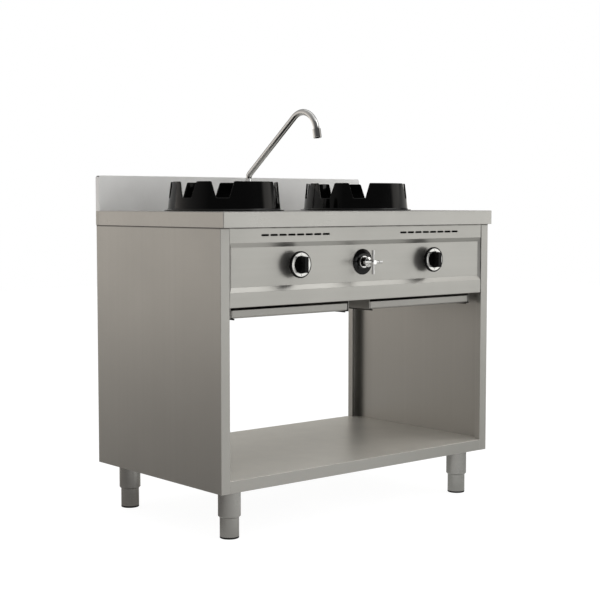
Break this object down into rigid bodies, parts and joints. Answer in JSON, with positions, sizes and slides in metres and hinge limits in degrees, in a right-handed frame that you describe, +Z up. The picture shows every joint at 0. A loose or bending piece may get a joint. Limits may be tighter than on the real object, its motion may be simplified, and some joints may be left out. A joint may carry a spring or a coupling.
{
  "type": "wok range",
  "caption": "Free-standing gas wok range: notched wok rings on a stainless worktop with splashback, knobs and water tap on the front, swivel spout, drip trays and open shelf on adjustable legs.",
  "frame": {"origin": "on the floor, in the middle of the outline that the worktop and the tap handle fill together", "axes": "+X to the right as seen from the front, +Y to the back, +Z up"},
  "size_m": [1, 0.6306, 1.1422],
  "materials": {
    "stainless": "satin brushed",
    "enamel_black": "glossy black enamel",
    "enamel_bowl": "black enamel",
    "cast_burner": "as cast",
    "brass": "turned",
    "gas_pipe": "zinc plated pipe",
    "supply_tube": "drawn tube",
    "copper_tube": "drawn tube",
    "chrome": "polished",
    "knob_black": "moulded",
    "dial_silver": "satin",
    "flange_black": "moulded, glossy",
    "pad_black": "moulded"
  },
  "bodies": {
    "cabinet": {"bottom_shelf": "stainless", "control_panel": "stainless", "front_cross_rail": "stainless", "front_left_leg_sleeve": "stainless", "front_right_leg_sleeve": "stainless", "gas_manifold": "gas_pipe", "left_burner": "cast_burner", "left_burner_bowl": "enamel_bowl", "left_gas_valve": "brass", "left_side_panel": "stainless", "left_supply_pipe": "supply_tube", "left_tray_runners": "stainless", "leg_bolts": "stainless", "pilot_burners": "brass", "rear_cross_rail": "stainless", "rear_left_leg_sleeve": "stainless", "rear_panel": "stainless", "rear_right_leg_sleeve": "stainless", "right_burner": "cast_burner", "right_burner_bowl": "enamel_bowl", "right_gas_valve": "brass", "right_side_panel": "stainless", "right_supply_pipe": "supply_tube", "right_tray_runners": "stainless", "splashback": "stainless", "spout_base": "chrome", "spout_feed_pipe": "copper_tube", "spout_locknut": "chrome", "tap_body": "brass", "tap_collar": "chrome", "tap_flange": "flange_black", "thermocouples": "copper_tube", "water_inlet_pipe": "copper_tube", "worktop": "stainless"},
    "left_gas_plug": {"left_valve_plug": "brass"},
    "left_gas_knob": {"left_valve_spindle": "chrome", "left_knob": "knob_black", "left_knob_dial": "dial_silver"},
    "left_tray": {"left_drip_tray": "stainless"},
    "left_ring": {"left_wok_ring": "enamel_black"},
    "left_cap": {"left_burner_cap": "cast_burner"},
    "right_gas_plug": {"right_valve_plug": "brass"},
    "right_gas_knob": {"right_valve_spindle": "chrome", "right_knob": "knob_black", "right_knob_dial": "dial_silver"},
    "right_tray": {"right_drip_tray": "stainless"},
    "right_ring": {"right_wok_ring": "enamel_black"},
    "right_cap": {"right_burner_cap": "cast_burner"},
    "front_left_levelling_foot": {"front_left_foot": "stainless", "front_left_foot_pad": "pad_black"},
    "front_right_levelling_foot": {"front_right_foot": "stainless", "front_right_foot_pad": "pad_black"},
    "rear_left_levelling_foot": {"rear_left_foot": "stainless", "rear_left_foot_pad": "pad_black"},
    "rear_right_levelling_foot": {"rear_right_foot": "stainless", "rear_right_foot_pad": "pad_black"},
    "tap_handle": {"cross_handle": "chrome", "tap_spindle": "brass"},
    "swivel_spout": {"spout": "chrome", "spout_aerator": "chrome"}
  },
  "joints": [
    {"name": "left_gas_turn", "type": "hinge", "parent": "cabinet", "child": "left_gas_plug", "pos_m": [-0.25, -0.26425, 0.711], "axis": [0, -1, 0], "range_deg": [0, 210]},
    {"name": "left_gas_push", "type": "slide", "parent": "left_gas_plug", "child": "left_gas_knob", "axis": [0, 1, 0], "range_m": [0, 0.004], "stiffness_N_per_m": 1500, "springref_m": -0.004},
    {"name": "right_gas_turn", "type": "hinge", "parent": "cabinet", "child": "right_gas_plug", "pos_m": [0.25, -0.26425, 0.711], "axis": [0, -1, 0], "range_deg": [0, 210]},
    {"name": "right_gas_push", "type": "slide", "parent": "right_gas_plug", "child": "right_gas_knob", "axis": [0, 1, 0], "range_m": [0, 0.004], "stiffness_N_per_m": 1500, "springref_m": -0.004},
    {"name": "tap_turn", "type": "hinge", "parent": "cabinet", "child": "tap_handle", "pos_m": [-0.0065, -0.26425, 0.711], "axis": [0, -1, 0], "range_deg": [0, 180]},
    {"name": "spout_swivel", "type": "hinge", "parent": "cabinet", "child": "swivel_spout", "pos_m": [0, 0.25025, 0.89], "axis": [0, 0, 1], "continuous": true},
    {"name": "left_tray_pull", "type": "slide", "parent": "cabinet", "child": "left_tray", "axis": [0, -1, 0], "range_m": [0, 0.45]},
    {"name": "left_ring_lift", "type": "slide", "parent": "cabinet", "child": "left_ring", "axis": [0, 0, 1], "range_m": [0, 0.1]},
    {"name": "left_cap_lift", "type": "slide", "parent": "cabinet", "child": "left_cap", "axis": [0, 0, 1], "range_m": [0, 0.04]},
    {"name": "right_tray_pull", "type": "slide", "parent": "cabinet", "child": "right_tray", "axis": [0, -1, 0], "range_m": [0, 0.45]},
    {"name": "right_ring_lift", "type": "slide", "parent": "cabinet", "child": "right_ring", "axis": [0, 0, 1], "range_m": [0, 0.1]},
    {"name": "right_cap_lift", "type": "slide", "parent": "cabinet", "child": "right_cap", "axis": [0, 0, 1], "range_m": [0, 0.04]},
    {"name": "front_left_foot_screw", "type": "slide", "parent": "cabinet", "child": "front_left_levelling_foot", "axis": [0, 0, -1], "range_m": [0, 0.045]},
    {"name": "front_right_foot_screw", "type": "slide", "parent": "cabinet", "child": "front_right_levelling_foot", "axis": [0, 0, -1], "range_m": [0, 0.045]},
    {"name": "rear_left_foot_screw", "type": "slide", "parent": "cabinet", "child": "rear_left_levelling_foot", "axis": [0, 0, -1], "range_m": [0, 0.045]},
    {"name": "rear_right_foot_screw", "type": "slide", "parent": "cabinet", "child": "rear_right_levelling_foot", "axis": [0, 0, -1], "range_m": [0, 0.045]}
  ]
}
